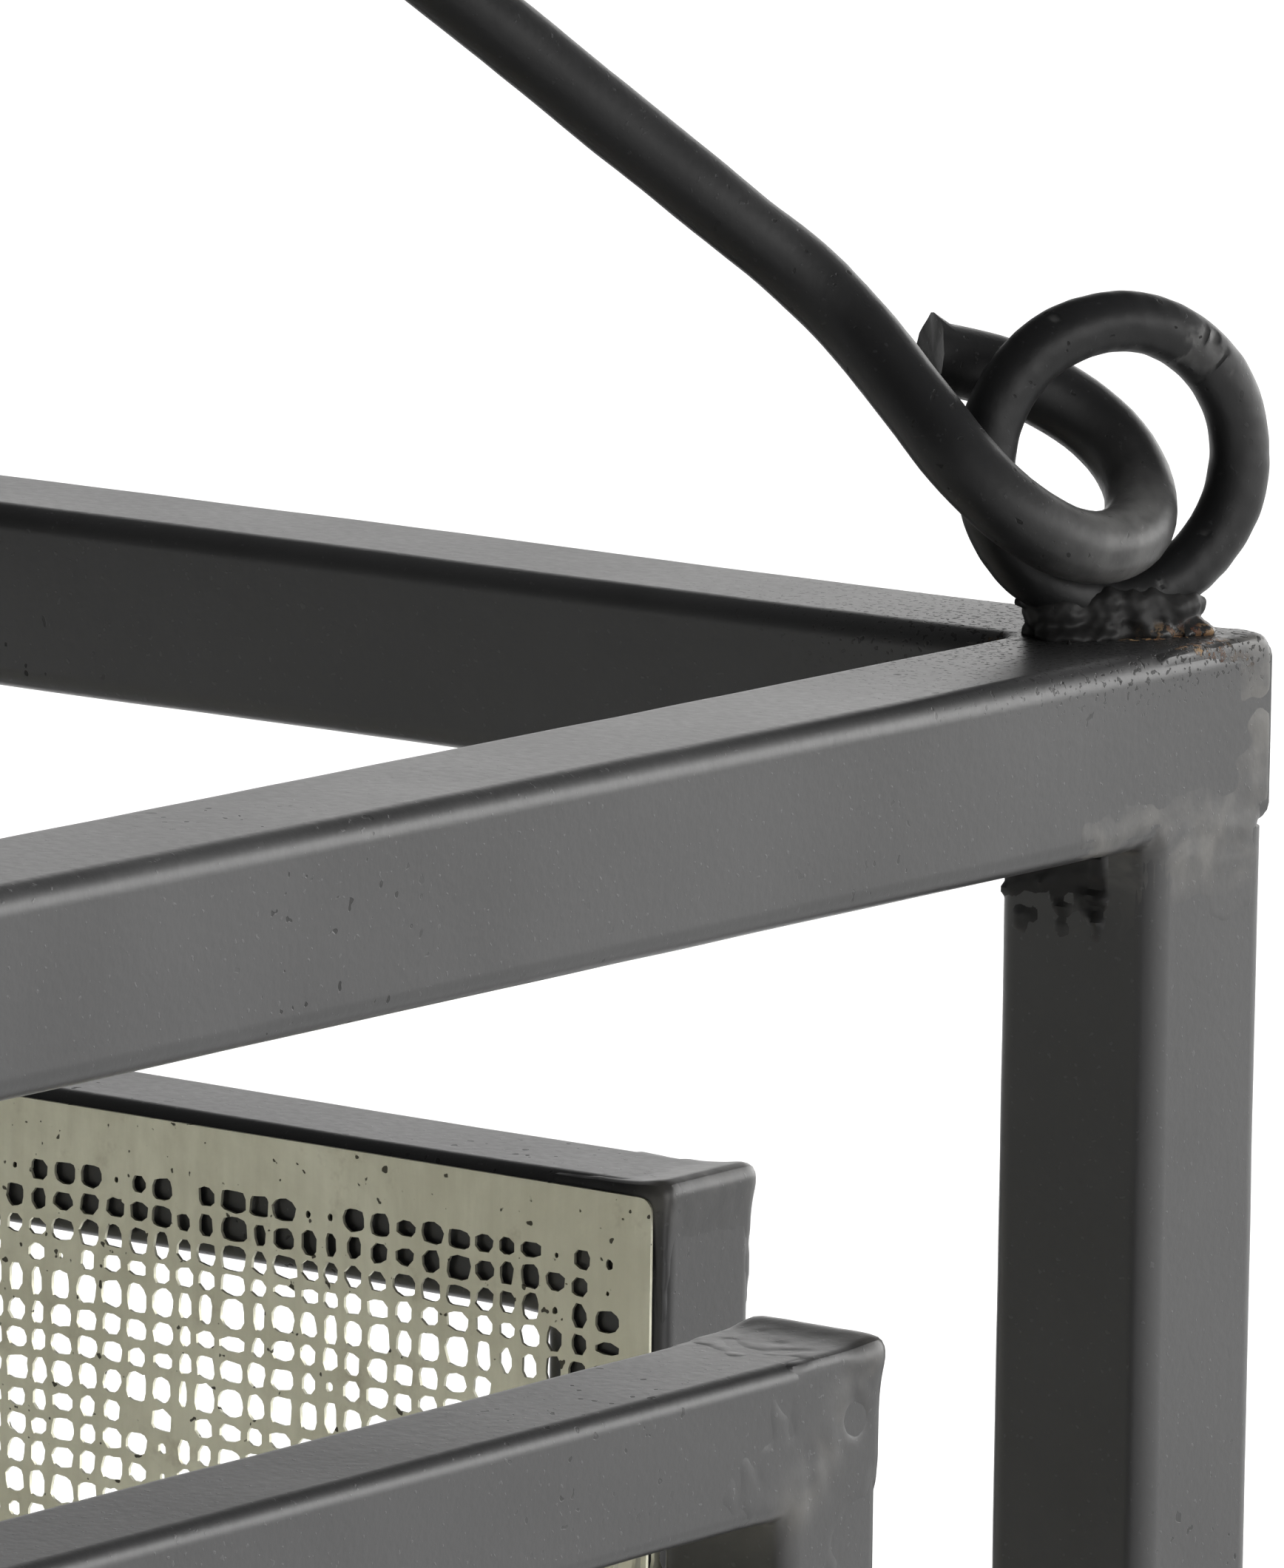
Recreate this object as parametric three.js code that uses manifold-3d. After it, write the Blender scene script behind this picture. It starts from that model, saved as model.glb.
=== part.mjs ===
// Candle lantern: an open frame of square steel tube, four etched metal screens that stand on its
// bottom rails, a floor with a ring for a pillar candle, and a rod bail that hangs in two wire rings
// welded on opposite corners. Millimetres, +Z up. The origin is the middle of the footprint, on the
// surface that the lantern stands on. The front is -Y, and the rings are back right and front left.

import * as THREE from 'three'
import { mergeVertices } from 'three/addons/utils/BufferGeometryUtils.js'
import Module from 'manifold-3d'

const wasm = await Module()
wasm.setup()

// ---- driving dimensions ----

const frameWidth = 180          // outside, along X
const frameDepth = 180          // outside, along Y
const frameHeight = 260         // to the top face of the top rails
const frameTube = { side: 12.7, radius: 1.5, wall: 1.2 }
const weldGap = 0.3             // the root gap of every welded joint
const contactGap = 0.3          // between two faces that rest on each other

const screenTube = { side: 10, radius: 1.1, wall: 1.0 }
const screenReveal = 28         // open space between a screen and the posts and rails round it
const screenInset = 0.8         // from the frame's outer face to the screen's outer face
const sheetThickness = 0.8
const sheetMargin = 1.3         // from the screen tube's outer edge to the edge of the sheet
const sheetCornerRadius = 1.6

const floorThickness = 2
const candleRadius = 35
const candleHeight = 110
const candleClearance = 2.5     // all round, between the candle and its ring
const candleRingWall = 1.5
const candleRingHeight = 10
const wickRadius = 0.9
const wickHeight = 22           // in all
const wickDepth = 12            // the part of it inside the wax
const wickClearance = 0.3

const ringRadius = 9.1          // to the middle of the wire
const ringWire = 4              // wire diameter
const ringTwist = 15            // degrees that each ring is turned off the diagonal
const ringInset = 1.25          // that each ring stands inside the middle of its two rails
const beadLength = 13
const beadWidth = 7.6
const beadHeight = 3.1

const rodDiameter = 4.8
const bailSlope = 38.6          // degrees, of the two straight shanks
const bailTopRadius = 24        // bend at the top of the bail, to the middle of the rod
const bailSteps = 210
const rodSides = 10

// The eye at one end of the bail, as it grips the ring's wire: along the diagonal (outwards), across
// it (towards the front right) and up, from the middle of the wire inside the eye. One unit is the
// distance between the middles of the rod and the wire when they touch. The shank starts the list.
const gripAngle = 160           // degrees round the ring, from its outer side over the top
const eyePath = [
  [-3.77, -0.50, 2.87], [-2.98, -0.54, 2.24], [-2.29, -0.37, 1.59], [-1.70, 0.02, 0.91],
  [-1.17, 0.55, 0.21], [-0.62, 1.03, -0.50], [0.07, 1.18, -1.17], [0.88, 0.95, -1.67],
  [1.68, 0.43, -1.85], [2.23, -0.25, -1.64], [2.33, -0.93, -1.12], [1.96, -1.45, -0.50],
  [1.23, -1.70, 0.05], [0.30, -1.68, 0.46], [-0.76, -1.41, 0.72],
]

const blackPaint = { color: 0x2f3031, roughness: 0.55, metalness: 0.2 }
const rodPaint = { color: 0x1d1e20, roughness: 0.6, metalness: 0.2 }
const etchedMetal = { color: 0xa8a694, roughness: 0.45, metalness: 0.6 }
const wax = { color: 0xece3cf, roughness: 0.6, metalness: 0 }
const cotton = { color: 0xd9d2c0, roughness: 0.9, metalness: 0 }

const lantern = new THREE.Group()

// ---- helpers ----

function piece(name, geometry, finish, parent = lantern) {
  const mesh = new THREE.Mesh(geometry, new THREE.MeshStandardMaterial(finish))
  mesh.name = name
  parent.add(mesh)
  return mesh
}

function roundedRectangle(width, height, radius, segments) {
  const points = []
  const corners = [[1, 1], [-1, 1], [-1, -1], [1, -1]]
  corners.forEach(([sx, sy], quarter) => {
    for (let i = 0; i <= segments; i++) {
      const angle = (quarter + i / segments) * Math.PI / 2
      points.push(new THREE.Vector2(
        sx * (width / 2 - radius) + radius * Math.cos(angle),
        sy * (height / 2 - radius) + radius * Math.sin(angle)))
    }
  })
  return points
}

function tubeSection({ side, radius, wall }) {
  const cornerSegments = 3
  const bore = side - 2 * wall
  const boreRadius = Math.max(radius - wall, 0.3)
  const section = new THREE.Shape(roundedRectangle(side, side, radius, cornerSegments))
  section.holes.push(new THREE.Path(roundedRectangle(bore, bore, boreRadius, cornerSegments)))
  return section
}

// A square tube of unit length along Z whose two ends are then moved to start(x) and end(x).
function cutTube(tube, start, end) {
  const geometry = new THREE.ExtrudeGeometry(tubeSection(tube), { depth: 1, steps: 1, bevelEnabled: false })
  const position = geometry.getAttribute('position')
  for (let i = 0; i < position.count; i++) {
    const cut = position.getZ(i) < 0.5 ? start : end
    position.setZ(i, cut(position.getX(i)))
  }
  return geometry
}

// Four tubes mitred at 45 degrees into a rectangle in the XY plane of their group. They are named
// in the order of their sides: -Y, +X, +Y and -X.
function mitredFrame(names, width, height, tube, parent) {
  const lies = new THREE.Matrix4().makeBasis(
    new THREE.Vector3(0, -1, 0), new THREE.Vector3(0, 0, -1), new THREE.Vector3(1, 0, 0))
  const trim = weldGap / Math.SQRT2
  names.forEach((name, quarter) => {
    const [length, across] = quarter % 2 === 0 ? [width, height] : [height, width]
    const mitre = (x) => tube.side / 2 - x + trim
    const geometry = cutTube(tube, mitre, (x) => length - mitre(x))
    geometry.applyMatrix4(lies)
    geometry.translate(-length / 2, -(across - tube.side) / 2, 0)
    const mesh = piece(name, geometry, blackPaint, parent)
    mesh.rotation.z = quarter * Math.PI / 2
  })
}

function solidOf(geometry) {
  const bare = geometry.clone()
  bare.deleteAttribute('normal')
  bare.deleteAttribute('uv')
  const merged = mergeVertices(bare)
  return new wasm.Manifold(new wasm.Mesh({
    numProp: 3,
    vertProperties: new Float32Array(merged.getAttribute('position').array),
    triVerts: new Uint32Array(merged.getIndex().array),
  }))
}

function geometryOf(solid) {
  const mesh = solid.getMesh()
  const geometry = new THREE.BufferGeometry()
  geometry.setAttribute('position', new THREE.BufferAttribute(mesh.vertProperties, 3))
  geometry.setIndex(new THREE.BufferAttribute(mesh.triVerts, 1))
  geometry.computeVertexNormals()
  return geometry
}

// ---- outer frame: a mitred square at the top and at the bottom, and four posts between them ----

const sides = ['front', 'right', 'back', 'left']

function addRails(level, middle) {
  const group = new THREE.Group()
  group.position.z = middle
  lantern.add(group)
  mitredFrame(sides.map((side) => `${level}_rail_${side}`), frameWidth, frameDepth, frameTube, group)
}

addRails('bottom', frameTube.side / 2)
addRails('top', frameHeight - frameTube.side / 2)

const cornerX = (frameWidth - frameTube.side) / 2
const cornerY = (frameDepth - frameTube.side) / 2
const postStart = frameTube.side + weldGap
const postEnd = frameHeight - frameTube.side - weldGap

for (const [name, sx, sy] of [['front_left', -1, -1], ['front_right', 1, -1],
  ['back_right', 1, 1], ['back_left', -1, 1]]) {
  const post = piece(`post_${name}`, cutTube(frameTube, () => postStart, () => postEnd), blackPaint)
  post.position.set(sx * cornerX, sy * cornerY, 0)
}

// ---- screens: a mitred frame of thinner tube with an etched sheet on its inner face ----

const screenStart = frameTube.side + weldGap
const screenEnd = frameHeight - frameTube.side - screenReveal
const screenHeight = screenEnd - screenStart

sides.forEach((side, quarter) => {
  const [span, reach] = quarter % 2 === 0 ? [frameWidth, frameDepth] : [frameDepth, frameWidth]
  const width = span - 2 * (frameTube.side + screenReveal)
  const facing = new THREE.Group()
  facing.rotation.z = quarter * Math.PI / 2
  lantern.add(facing)
  const upright = new THREE.Group()
  upright.rotation.x = Math.PI / 2
  upright.position.set(0, -(reach - screenTube.side) / 2 + screenInset, (screenStart + screenEnd) / 2)
  facing.add(upright)
  const names = ['bottom', 'right', 'top', 'left'].map((edge) => `screen_${side}_${edge}`)
  mitredFrame(names, width, screenHeight, screenTube, upright)
  const outline = roundedRectangle(width - 2 * sheetMargin, screenHeight - 2 * sheetMargin,
    sheetCornerRadius, 4)
  const sheet = new THREE.ExtrudeGeometry(new THREE.Shape(outline),
    { depth: sheetThickness, bevelEnabled: false })
  piece(`screen_${side}_sheet`, sheet, etchedMetal, upright)
    .position.z = -screenTube.side / 2 - contactGap - sheetThickness
})

// ---- floor, candle ring, candle and wick ----

const floorTop = frameTube.side
const floorGap = 2 * (frameTube.side + weldGap)
const plate = new THREE.BoxGeometry(frameWidth - floorGap, frameDepth - floorGap, floorThickness)
piece('floor_plate', plate, blackPaint).position.z = floorTop - floorThickness / 2

const seat = floorTop + contactGap
const ringInside = candleRadius + candleClearance
const ringOutside = ringInside + candleRingWall
const roundSegments = 48

function lathed(profile) {
  const geometry = new THREE.LatheGeometry(profile.map(([r, z]) => new THREE.Vector2(r, z)), roundSegments)
  geometry.rotateX(Math.PI / 2)
  return geometry
}

const ringProfile = [[ringInside, 0], [ringOutside, 0], [ringOutside, candleRingHeight],
  [ringInside, candleRingHeight], [ringInside, 0]]
piece('candle_ring', lathed(ringProfile), blackPaint).position.z = seat

const shoulder = 2.5            // rounding of the candle's top edge
const meltDip = 3               // hollow in the wax round the wick
const meltRadius = 0.7 * candleRadius
const wickHole = wickRadius + wickClearance
const wickFoot = candleHeight - meltDip - wickDepth
const candleProfile = [[0, 0], [candleRadius, 0], [candleRadius, candleHeight - shoulder],
  [candleRadius - shoulder, candleHeight], [meltRadius, candleHeight - meltDip],
  [wickHole, candleHeight - meltDip], [wickHole, wickFoot - wickClearance],
  [0, wickFoot - wickClearance]]
piece('candle', lathed(candleProfile), wax).position.z = seat
const wick = new THREE.CylinderGeometry(wickRadius, wickRadius, wickHeight, 12)
wick.rotateX(Math.PI / 2)
piece('wick', wick, cotton).position.z = seat + wickFoot + wickHeight / 2

// ---- rings: bent wire, welded upright on two opposite corners ----

const diagonal = Math.hypot(cornerX - ringInset, cornerY - ringInset)
const along = new THREE.Vector3(cornerX, cornerY, 0).normalize()
const across = new THREE.Vector3(cornerY, -cornerX, 0).normalize()
const ringCentre = frameHeight + contactGap + ringWire / 2 + ringRadius
const diagonalTurn = Math.atan2(cornerY, cornerX)

function standing(geometry, turn) {
  return geometry.rotateX(Math.PI / 2).rotateZ(turn)
}

function addRing(name, end) {
  const turn = diagonalTurn + end * THREE.MathUtils.degToRad(ringTwist)
  const foot = along.clone().multiplyScalar(end * diagonal)
  const wire = standing(new THREE.TorusGeometry(ringRadius, ringWire / 2, 12, 40), turn)
  piece(`ring_${name}`, wire, rodPaint).position.set(foot.x, foot.y, ringCentre)

  const bead = new THREE.SphereGeometry(1, 24, 16)
  bead.scale(beadLength / 2, beadWidth / 2, beadHeight).rotateZ(turn)
  const above = new THREE.BoxGeometry(beadLength * 2, beadLength * 2, beadHeight * 2)
  above.translate(0, 0, beadHeight)
  const room = standing(new THREE.TorusGeometry(ringRadius, ringWire / 2 + contactGap, 12, 40), turn)
  room.translate(0, 0, ringCentre - frameHeight - contactGap)
  const cut = solidOf(bead).intersect(solidOf(above)).subtract(solidOf(room))
  piece(`ring_weld_${name}`, geometryOf(cut), blackPaint)
    .position.set(foot.x, foot.y, frameHeight + contactGap)
}

addRing('back_right', 1)
addRing('front_left', -1)

// ---- bail: one rod, bent over at the top and into an eye round each ring's wire ----

// The eye's path in millimetres from the middle of its ring. The shank is on the diagonal itself.
function eyePoints() {
  const unit = (rodDiameter + ringWire) / 2
  const grip = THREE.MathUtils.degToRad(gripAngle)
  const twist = THREE.MathUtils.degToRad(ringTwist)
  const reach = ringRadius * Math.cos(grip)
  const wire = [reach * Math.cos(twist), -reach * Math.sin(twist), ringRadius * Math.sin(grip)]
  const points = eyePath.map((point) => point.map((value, i) => wire[i] + value * unit))
  points[0][1] = 0
  return points
}

function bailPoint(end, [out, side, up]) {
  return along.clone().multiplyScalar(end * (diagonal + out))
    .addScaledVector(across, side)
    .setZ(ringCentre + up)
}

function bailCurve() {
  const slope = THREE.MathUtils.degToRad(bailSlope)
  const eye = eyePoints()
  const [shankOut, , shankUp] = eye[0]
  const peak = shankUp + (diagonal + shankOut) * Math.tan(slope)
  const bendCentre = peak - bailTopRadius / Math.cos(slope)
  const bend = []
  const bendPoints = 8
  for (let i = 0; i <= bendPoints; i++) {
    const angle = slope * i / bendPoints
    const fromMiddle = bailTopRadius * Math.sin(slope - angle)
    bend.push([fromMiddle - diagonal, 0, bendCentre + bailTopRadius * Math.cos(slope - angle)])
  }
  const shank = []
  const shankPoints = 6
  for (let i = 1; i < shankPoints; i++) {
    const share = i / shankPoints
    shank.push([
      THREE.MathUtils.lerp(shankOut, bend[0][0], share), 0,
      THREE.MathUtils.lerp(shankUp, bend[0][2], share)])
  }
  const half = eye.reverse().concat(shank, bend)
  const near = half.map((point) => bailPoint(1, point))
  const far = half.slice(0, -1).reverse().map((point) => bailPoint(-1, point))
  return new THREE.CatmullRomCurve3(near.concat(far))
}

const rodSection = []
for (let i = 0; i < rodSides; i++) {
  const angle = 2 * Math.PI * i / rodSides
  rodSection.push(new THREE.Vector2(rodDiameter / 2 * Math.cos(angle), rodDiameter / 2 * Math.sin(angle)))
}
const bail = new THREE.ExtrudeGeometry(new THREE.Shape(rodSection),
  { extrudePath: bailCurve(), steps: bailSteps, bevelEnabled: false })
piece('bail', bail, rodPaint)

export default lantern
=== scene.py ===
# %% [markdown]
# # A candle lantern of welded steel tube
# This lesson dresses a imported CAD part. The part is already the right size and in the right place,
# so the first step only loads it, as bodies that can move and nodes that can't.
# Every new piece below stands in the place of a CAD node, rides on that node's body and is measured
# from its box, so a change of the CAD sizes carries through to the looks.
# %% Load the part
import math
import bmesh
import bpy
import numpy as np
from mathutils import Matrix, Vector


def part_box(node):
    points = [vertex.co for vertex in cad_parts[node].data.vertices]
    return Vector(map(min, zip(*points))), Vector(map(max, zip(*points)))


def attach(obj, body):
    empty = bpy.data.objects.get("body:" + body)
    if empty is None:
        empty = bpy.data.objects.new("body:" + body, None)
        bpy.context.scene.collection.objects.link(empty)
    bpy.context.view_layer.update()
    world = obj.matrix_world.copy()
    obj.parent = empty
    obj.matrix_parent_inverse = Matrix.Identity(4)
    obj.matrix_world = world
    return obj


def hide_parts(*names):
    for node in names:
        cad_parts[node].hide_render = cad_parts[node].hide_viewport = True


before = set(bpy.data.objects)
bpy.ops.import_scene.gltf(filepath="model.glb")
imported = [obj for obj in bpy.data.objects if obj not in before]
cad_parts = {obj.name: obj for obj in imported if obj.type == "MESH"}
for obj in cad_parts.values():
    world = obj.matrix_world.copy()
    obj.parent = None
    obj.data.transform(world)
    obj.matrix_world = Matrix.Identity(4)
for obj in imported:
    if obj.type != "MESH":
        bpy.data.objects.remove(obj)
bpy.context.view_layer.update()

# %% [markdown]
# ## Sizes that several steps share
# Blender works in metres and a metalworker in millimetres, so one constant turns one into the other.
# The outside of the frame and of its tube come from the boxes of the CAD nodes. A corner is named
# with the signs of its x and its y.
# %% Measure the frame
MM = 0.001
UP = np.array([0, 0, 1.0])
SIDES = ("front", "right", "back", "left")
CORNERS = (("front_left", -1, -1), ("front_right", 1, -1), ("back_right", 1, 1), ("back_left", -1, 1))


def around(*nodes):
    """The lowest and highest corner of several CAD nodes together."""
    boxes = [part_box(node) for node in nodes]
    low = Vector(min(b[0][i] for b in boxes) for i in range(3))
    high = Vector(max(b[1][i] for b in boxes) for i in range(3))
    return low, high


top_low, top_high = around(*(f"top_rail_{side}" for side in SIDES))
bottom_low, bottom_high = around(*(f"bottom_rail_{side}" for side in SIDES))
tube = top_high.z - top_low.z
print(f"frame {1000 * (top_high.x - top_low.x):.1f} mm wide, tube {1000 * tube:.1f} mm")

# %% [markdown]
# ## The camera
# A product picture of a small detail is taken with a long lens from close by. A long lens keeps the
# tubes nearly parallel. The camera is set from the lantern's top back right corner, which carries a
# ring: a direction, a distance and a shift of the camera itself, which leaves the lens shift at zero.
# Its numbers come from a least squares fit of the view.
# %% Place the camera
AZIMUTH, ELEVATION, ROLL = math.radians(37.0), math.radians(9.56), math.radians(-0.815)
CAMERA_DISTANCE, CAMERA_RIGHT, CAMERA_UP, LENS = 0.87114, -0.04091, -0.01044, 307.08

towards = Vector((math.sin(AZIMUTH) * math.cos(ELEVATION), -math.cos(AZIMUTH) * math.cos(ELEVATION),
                  math.sin(ELEVATION)))
level_right = Vector((math.cos(AZIMUTH), math.sin(AZIMUTH), 0))
level_up = towards.cross(level_right)
picture_right = level_right * math.cos(ROLL) - level_up * math.sin(ROLL)
picture_up = level_right * math.sin(ROLL) + level_up * math.cos(ROLL)
camera = bpy.data.objects.new("camera", bpy.data.cameras.new("camera"))
bpy.context.scene.collection.objects.link(camera)
bpy.context.scene.camera = camera
camera.data.lens, camera.data.sensor_width = LENS, 36
camera.data.clip_start, camera.data.clip_end = 0.05, 60
turn = np.array([picture_right, picture_up, towards]).T
spot = top_high + level_right * CAMERA_RIGHT + level_up * CAMERA_UP + towards * CAMERA_DISTANCE
camera.matrix_world = Matrix([[*row, place] for row, place in zip(turn, spot)] + [[0, 0, 0, 1]])
print("camera at", [round(v, 3) for v in spot], "m")

# %% [markdown]
# ## Sums inside a material
# A material is a tree of nodes, and a tree is easier to read as a formula. This class wraps one
# output socket, so `0.3 + 0.2 * noise` adds the Math nodes that work it out. Colours can't go through
# Math nodes, so they are blended with a Mix node, and any other node comes from `node`.
# %% Wrap a socket
class Wire:
    """An output socket, in the node tree that it belongs to."""

    def __init__(self, tree, socket=None):
        self.tree, self.socket = tree, socket

    def node(self, kind, settings, inputs, out=0):
        """A new node: its settings first, then the values or links of its sockets."""
        made = self.tree.nodes.new(kind)
        for name, value in settings.items():
            setattr(made, name, value)
        for name, value in inputs.items():
            if isinstance(value, Wire):
                self.tree.links.new(value.socket, made.inputs[name])
            else:
                made.inputs[name].default_value = value
        return Wire(self.tree, made.outputs[out])

    def math(self, kind, *values):
        return self.node("ShaderNodeMath", {"operation": kind}, dict(enumerate(values)))

    def __add__(self, other):
        return self.math("ADD", self, other)

    def __sub__(self, other):
        return self.math("SUBTRACT", self, other)

    def __rsub__(self, other):
        return self.math("SUBTRACT", other, self)

    def __mul__(self, other):
        return self.math("MULTIPLY", self, other)

    __radd__, __rmul__ = __add__, __mul__

    def between(self, low, high):
        """0 below low, 1 above high, and smooth in between."""
        return self.node("ShaderNodeMapRange", {"interpolation_type": "SMOOTHSTEP"},
                         {"Value": self, "From Min": low, "From Max": high})

    def blend(self, first, second):
        """The first colour where this is 0 and the second where it is 1."""
        return self.node("ShaderNodeMix", {"data_type": "RGBA"},
                         {0: self, 6: colour(first), 7: colour(second)}, out=2)


def colour(value):
    return value if isinstance(value, Wire) else (*value, 1)


print("a wire can be added, multiplied and blended")

# %% [markdown]
# ## Light
# Dark paint is seen by what it reflects. The room is bright low down behind the lantern and to its
# right, and dark overhead and on the side where the camera stands. So faces turned to the right
# shine, those turned to the front stay nearly black, and each rounded edge, which mirrors the
# ceiling, draws a dark line along its tube. A sky made of two smooth changes of brightness, round
# the room and up the wall, does this without the hard edges that a few lamps would leave.
# %% Light the room
scene = bpy.context.scene
scene.view_settings.view_transform = "Standard"
scene.world = bpy.data.worlds.new("studio")
scene.world.use_nodes = True
room = Wire(scene.world.node_tree)
room.tree.nodes.clear()
looking = room.node("ShaderNodeTexCoord", {}, {})
LIGHT_FROM = Vector((0.72, 0.69, 0)).normalized()
CEILING, DIM, BRIGHT = 0.06, 0.04, 5.9
DIM_UNTIL, BRIGHT_FROM = -0.44, 1.03
WALL_UNTIL, CEILING_FROM = 0.22, 0.52
facing_light = room.node("ShaderNodeVectorMath", {"operation": "DOT_PRODUCT"},
                         {0: looking, 1: LIGHT_FROM}, out=1)
height = room.node("ShaderNodeSeparateXYZ", {}, {0: looking}, out=2)
wall = DIM + (BRIGHT - DIM) * facing_light.between(DIM_UNTIL, BRIGHT_FROM)
strength = CEILING + wall * (1 - height.between(WALL_UNTIL, CEILING_FROM))
sky = room.node("ShaderNodeBackground", {}, {"Color": (1.0, 0.995, 0.985, 1), "Strength": strength})
world_out = room.tree.nodes.new("ShaderNodeOutputWorld")
room.tree.links.new(sky.socket, world_out.inputs["Surface"])
print("walls from", DIM, "to", BRIGHT)

# %% [markdown]
# A wide soft sun from above lights the floor evenly. It is kept out of reflections, where it would
# put a pale spot on every rounded edge.
# %% Hang the soft sun
lamp = bpy.data.objects.new("soft_sun", bpy.data.lights.new("soft_sun", "SUN"))
scene.collection.objects.link(lamp)
SUN_TILT, SUN_SPREAD, SUN_STRENGTH = (math.radians(-14), math.radians(12), 0), math.radians(70), 3.9
lamp.rotation_euler = SUN_TILT
lamp.data.angle, lamp.data.energy = SUN_SPREAD, SUN_STRENGTH
lamp.visible_glossy = False
print("sun of", lamp.data.energy, "W per square metre")

# %% [markdown]
# ## Finishes
# Each finish starts the same way: a new material with a Principled shader, whose fixed values are
# set on its own sockets and whose varying ones come from noise measured in object coordinates. All
# the pieces have their origin at the lantern's, so a pattern runs on from one piece to the next.
# %% Start a finish
class Finish(Wire):
    """A material being made, with its Principled shader."""

    def __init__(self, name, **fixed):
        self.material = bpy.data.materials.new(name)
        self.material.use_nodes = True
        super().__init__(self.material.node_tree)
        self.shader = self.tree.nodes["Principled BSDF"]
        for key, value in fixed.items():
            self.shader.inputs[key.replace("_", " ")].default_value = value
        self.place = self.node("ShaderNodeTexCoord", {}, {}, out=3)

    def noise(self, scale, detail=3.0, rough=0.55, stretch=None, twist=0.0):
        """Noise of about 0 to 1 with scale features in a metre, stretched along an axis or not."""
        place = self.place
        if stretch:
            place = self.node("ShaderNodeVectorMath", {"operation": "MULTIPLY"}, {0: place, 1: stretch})
        return self.node("ShaderNodeTexNoise", {"noise_dimensions": "3D"}, {
            "Vector": place, "Scale": scale, "Detail": detail, "Roughness": rough, "Distortion": twist})

    def mark(self, name):
        """A value from 0 to 1 that the mesh carries, such as where a weld was ground."""
        return self.node("ShaderNodeAttribute", {"attribute_name": name}, {}, out=2)

    def bump(self, height, depth):
        """Raises the surface by height, a wire, times depth in metres."""
        bumped = self.node("ShaderNodeBump", {}, {"Height": height, "Distance": depth, "Strength": 1.0})
        self.tree.links.new(bumped.socket, self.shader.inputs["Normal"])

    def crust(self, share, tone):
        """Covers the finish by share, a wire, with dull stuff that hardly reflects."""
        dull = self.node("ShaderNodeBsdfPrincipled", {}, {
            "Base Color": tone, "Roughness": 0.85, "Specular IOR Level": 0.08})
        shiny = Wire(self.tree, self.shader.outputs[0])
        both = self.node("ShaderNodeMixShader", {}, {0: share, 1: shiny, 2: dull})
        self.tree.links.new(both.socket, self.tree.nodes["Material Output"].inputs["Surface"])

    def feed(self, **wires):
        for key, wire in wires.items():
            self.tree.links.new(wire.socket, self.shader.inputs[key.replace("_", " ")])
        return self.material


print("finishes start from one Principled shader each")

# %% [markdown]
# ### Frame paint
# Satin black paint on rolled tube. Sprayed paint has a very fine orange peel, a slow change of gloss
# where it went on thicker, and specks of dust and small pits under it. The mesh carries marks from 0
# to 1 for what differs from place to place: "ground" where a weld was ground before painting, a mark
# for rubbed paint, which is lighter and at the bottom of the bail's eyes is also a painted highlight,
# "spatter" near a ring that was welded on later, and the "soot" and "rust" of that weld. Paint shines
# on a face seen nearly edge on, and the shine would hide soot, rust and pits there. So they are a
# second, dull shader, mixed over the paint.
# %% Mix the frame paint
RELIEF_DEPTH = 0.00005
# The second tone is rubbed paint, and on the bail's eyes it is also a painted highlight.
GROUND_TONE, WORN_AND_HIGHLIGHT_TONE = (0.115, 0.108, 0.096), (0.085, 0.084, 0.082)
SOOT_TONE, DARK_RUST, PALE_RUST = (0.009, 0.0088, 0.0086), (0.075, 0.026, 0.015), (0.25, 0.165, 0.085)


def paint(name, base, rough, peel, shine):
    """Satin paint of that base colour, roughness, depth of orange peel and strength of reflection."""
    made = Finish(name, IOR=1.5, Specular_IOR_Level=shine)
    cloud = made.noise(38, 4.0)
    fine = made.noise(1300, 2.0)
    dust = made.noise(2300, 1.0).between(0.69, 0.74)
    pits = made.noise(1150, 1.0, 0.4).between(0.715, 0.74)
    pitted = made.noise(22, 2.0).between(0.50, 0.66)
    spatter = made.mark("spatter")
    spots = (made.noise(2300, 1.0) + 0.13 * spatter).between(0.69, 0.72) * spatter
    wear_and_highlight = made.mark("wear_and_highlight")
    scuff_and_highlight = (0.35 + 0.55 * made.noise(300, 3.0, 0.6).between(0.30, 0.70)) * wear_and_highlight
    ground = made.mark("ground")
    smear = made.noise(210, 4.0, 0.6, twist=0.8).between(0.32, 0.74) * ground
    soot = made.mark("soot")
    rust = made.mark("rust") * made.noise(1500, 3.0, 0.7).between(0.49, 0.57)
    scorch = made.noise(420, 3.0).between(0.35, 0.65)
    tone = cloud.between(0.3, 0.7).blend(tuple(0.75 * v for v in base), tuple(1.25 * v for v in base))
    tone = (0.5 * dust).blend(tone, tuple(2.6 * v for v in base))
    tone = (0.45 * smear).blend(tone, GROUND_TONE)
    # Lighter where the paint is rubbed; at the bottom of the bail's eyes this is a painted highlight.
    tone = scuff_and_highlight.blend(tone, WORN_AND_HIGHLIGHT_TONE)
    gloss = rough + 0.10 * (cloud - 0.5) + 0.08 * (fine - 0.5) + 0.07 * smear - 0.10 * wear_and_highlight
    clean = (1 - 0.78 * soot) * (1 - 0.9 * rust) * (1 - 0.85 * spots) * (1 - 0.8 * pits * pitted)
    made.crust(1 - clean, rust.blend(SOOT_TONE, scorch.blend(DARK_RUST, PALE_RUST)))
    relief = peel * fine + 0.5 * peel * cloud - 0.7 * (pits * pitted + spots) + 0.15 * dust + 0.8 * rust
    made.bump(relief, RELIEF_DEPTH)
    return made.feed(Base_Color=tone, Roughness=gloss)


frame_paint = paint("frame_paint", (0.0135, 0.0135, 0.0138), 0.40, 0.35, 0.5)
print(frame_paint.name, "has", len(frame_paint.node_tree.nodes), "nodes")
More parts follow.
